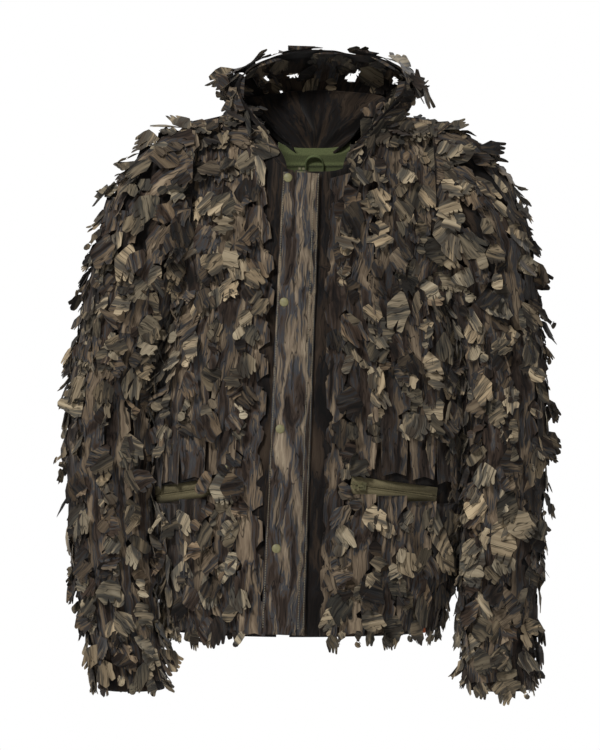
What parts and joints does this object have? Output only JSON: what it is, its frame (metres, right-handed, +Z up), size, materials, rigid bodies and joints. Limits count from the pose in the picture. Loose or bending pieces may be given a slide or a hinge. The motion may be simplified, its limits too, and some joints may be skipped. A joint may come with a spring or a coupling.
{
  "type": "hooded leaf-cut camouflage jacket",
  "caption": "Hooded jacket of bark-printed cloth covered with strips of die-cut cloth leaves, with a snapped storm flap over the front zip and slanted zip pockets.",
  "frame": {"origin": "seat of the hanging loop inside the back neck, where a peg bears", "axes": "+Z up, -Y out of the front, +X towards the wearer's left"},
  "size_m": [0.7025, 0.275, 0.9259],
  "materials": {
    "shell_cloth": "woven polyester printed with upright bark stripes, matt",
    "flap_cloth": "woven polyester printed with bark stripes, topstitched",
    "cuff_cloth": "woven polyester turned and stitched",
    "leaf_cloth": "die-cut woven polyester, printed, raw edges",
    "knit_facing": "olive knit",
    "twill_tape": "woven twill tape",
    "dark_tape": "woven zip tape",
    "dark_teeth": "moulded acetal",
    "khaki_tape": "woven zip tape",
    "khaki_teeth": "moulded acetal",
    "zip_metal": "enamelled zinc casting",
    "snap_cap": "enamelled brass",
    "snap_inner": "brass",
    "pocket_cloth": "plain woven polyester",
    "pale_thread": "satin-stitched thread",
    "orange_tab": "woven label tape, plain"
  },
  "bodies": {
    "jacket": {"front_right_panel": "shell_cloth", "front_left_panel": "shell_cloth", "back_panel": "shell_cloth", "neck_facing": "knit_facing", "hanger_loop": "twill_tape", "main_zip_tape_right": "dark_tape", "main_zip_tape_left": "dark_tape", "main_zip_teeth_right": "dark_teeth", "main_zip_teeth_left": "dark_teeth", "main_zip_top_stops": "zip_metal", "main_zip_bottom_box": "zip_metal", "snap_studs": "snap_inner", "side_snap": "snap_cap", "pocket_tapes_right": "khaki_tape", "pocket_tapes_left": "khaki_tape", "pocket_teeth_right": "khaki_teeth", "pocket_teeth_left": "khaki_teeth", "pocket_bag_right": "pocket_cloth", "pocket_bag_left": "pocket_cloth", "chest_bartack": "pale_thread", "hem_tab": "orange_tab", "leaves_front_right": "leaf_cloth", "leaves_front_left": "leaf_cloth", "leaves_back": "leaf_cloth"},
    "flap": {"storm_flap": "flap_cloth", "snap_caps": "snap_cap", "snap_sockets": "snap_inner"},
    "main_slider": {"main_zip_slider": "zip_metal"},
    "main_pull": {"main_zip_pull": "zip_metal"},
    "pocket_slider_right": {"pocket_slider_right": "zip_metal"},
    "pocket_pull_right": {"pocket_pull_right": "zip_metal"},
    "pocket_slider_left": {"pocket_slider_left": "zip_metal"},
    "pocket_pull_left": {"pocket_pull_left": "zip_metal"},
    "upper_sleeve_right": {"upper_sleeve_right": "shell_cloth", "leaves_upper_sleeve_right": "leaf_cloth"},
    "upper_sleeve_left": {"upper_sleeve_left": "shell_cloth", "leaves_upper_sleeve_left": "leaf_cloth"},
    "lower_sleeve_right": {"lower_sleeve_right": "shell_cloth", "cuff_right": "cuff_cloth", "leaves_lower_sleeve_right": "leaf_cloth"},
    "lower_sleeve_left": {"lower_sleeve_left": "shell_cloth", "cuff_left": "cuff_cloth", "leaves_lower_sleeve_left": "leaf_cloth"},
    "hood": {"hood_shell": "shell_cloth", "leaves_hood": "leaf_cloth"}
  },
  "joints": [
    {"name": "shoulder_right", "type": "hinge", "parent": "jacket", "child": "upper_sleeve_right", "pos_m": [-0.166, -0.076, 0.042], "axis": [0, 1, 0], "range_deg": [0, 50]},
    {"name": "elbow_right", "type": "hinge", "parent": "upper_sleeve_right", "child": "lower_sleeve_right", "pos_m": [-0.294, -0.084, -0.43], "axis": [-1, 0, 0], "range_deg": [0, 55]},
    {"name": "shoulder_left", "type": "hinge", "parent": "jacket", "child": "upper_sleeve_left", "pos_m": [0.166, -0.076, 0.042], "axis": [0, -1, 0], "range_deg": [0, 50]},
    {"name": "elbow_left", "type": "hinge", "parent": "upper_sleeve_left", "child": "lower_sleeve_left", "pos_m": [0.272, -0.084, -0.43], "axis": [-1, 0, 0], "range_deg": [0, 55]},
    {"name": "hood_tilt", "type": "hinge", "parent": "jacket", "child": "hood", "pos_m": [0, 0.01108, 0.00245], "axis": [-1, 0, 0], "range_deg": [0, 50]},
    {"name": "storm_flap_open", "type": "hinge", "parent": "jacket", "child": "flap", "pos_m": [-0.00385, -0.18333, -0.35897], "axis": [0.0338, 0.0732, 0.9967], "range_deg": [0, 135]},
    {"name": "main_zip_travel", "type": "slide", "parent": "jacket", "child": "main_slider", "axis": [-0.04, -0.0732, -0.9965], "range_m": [0, 0.615]},
    {"name": "main_pull_swing", "type": "hinge", "parent": "main_slider", "child": "main_pull", "pos_m": [-0.01928, -0.15926, -0.03785], "axis": [-0.9992, 0, 0.0401], "range_deg": [0, 12]},
    {"name": "pocket_zip_travel_right", "type": "slide", "parent": "jacket", "child": "pocket_slider_right", "axis": [-0.8305, 0.5393, -0.1392], "range_m": [0, 0.1]},
    {"name": "pocket_pull_swing_right", "type": "hinge", "parent": "pocket_slider_right", "child": "pocket_pull_right", "pos_m": [-0.13283, -0.17601, -0.47476], "axis": [0.1167, -0.0758, -0.9903], "range_deg": [0, 150]},
    {"name": "pocket_zip_travel_left", "type": "slide", "parent": "jacket", "child": "pocket_slider_left", "axis": [0.9183, 0.3706, -0.1392], "range_m": [0, 0.1]},
    {"name": "pocket_pull_swing_left", "type": "hinge", "parent": "pocket_slider_left", "child": "pocket_pull_left", "pos_m": [0.06777, -0.18757, -0.47476], "axis": [0.1291, 0.0521, 0.9903], "range_deg": [0, 150]}
  ]
}
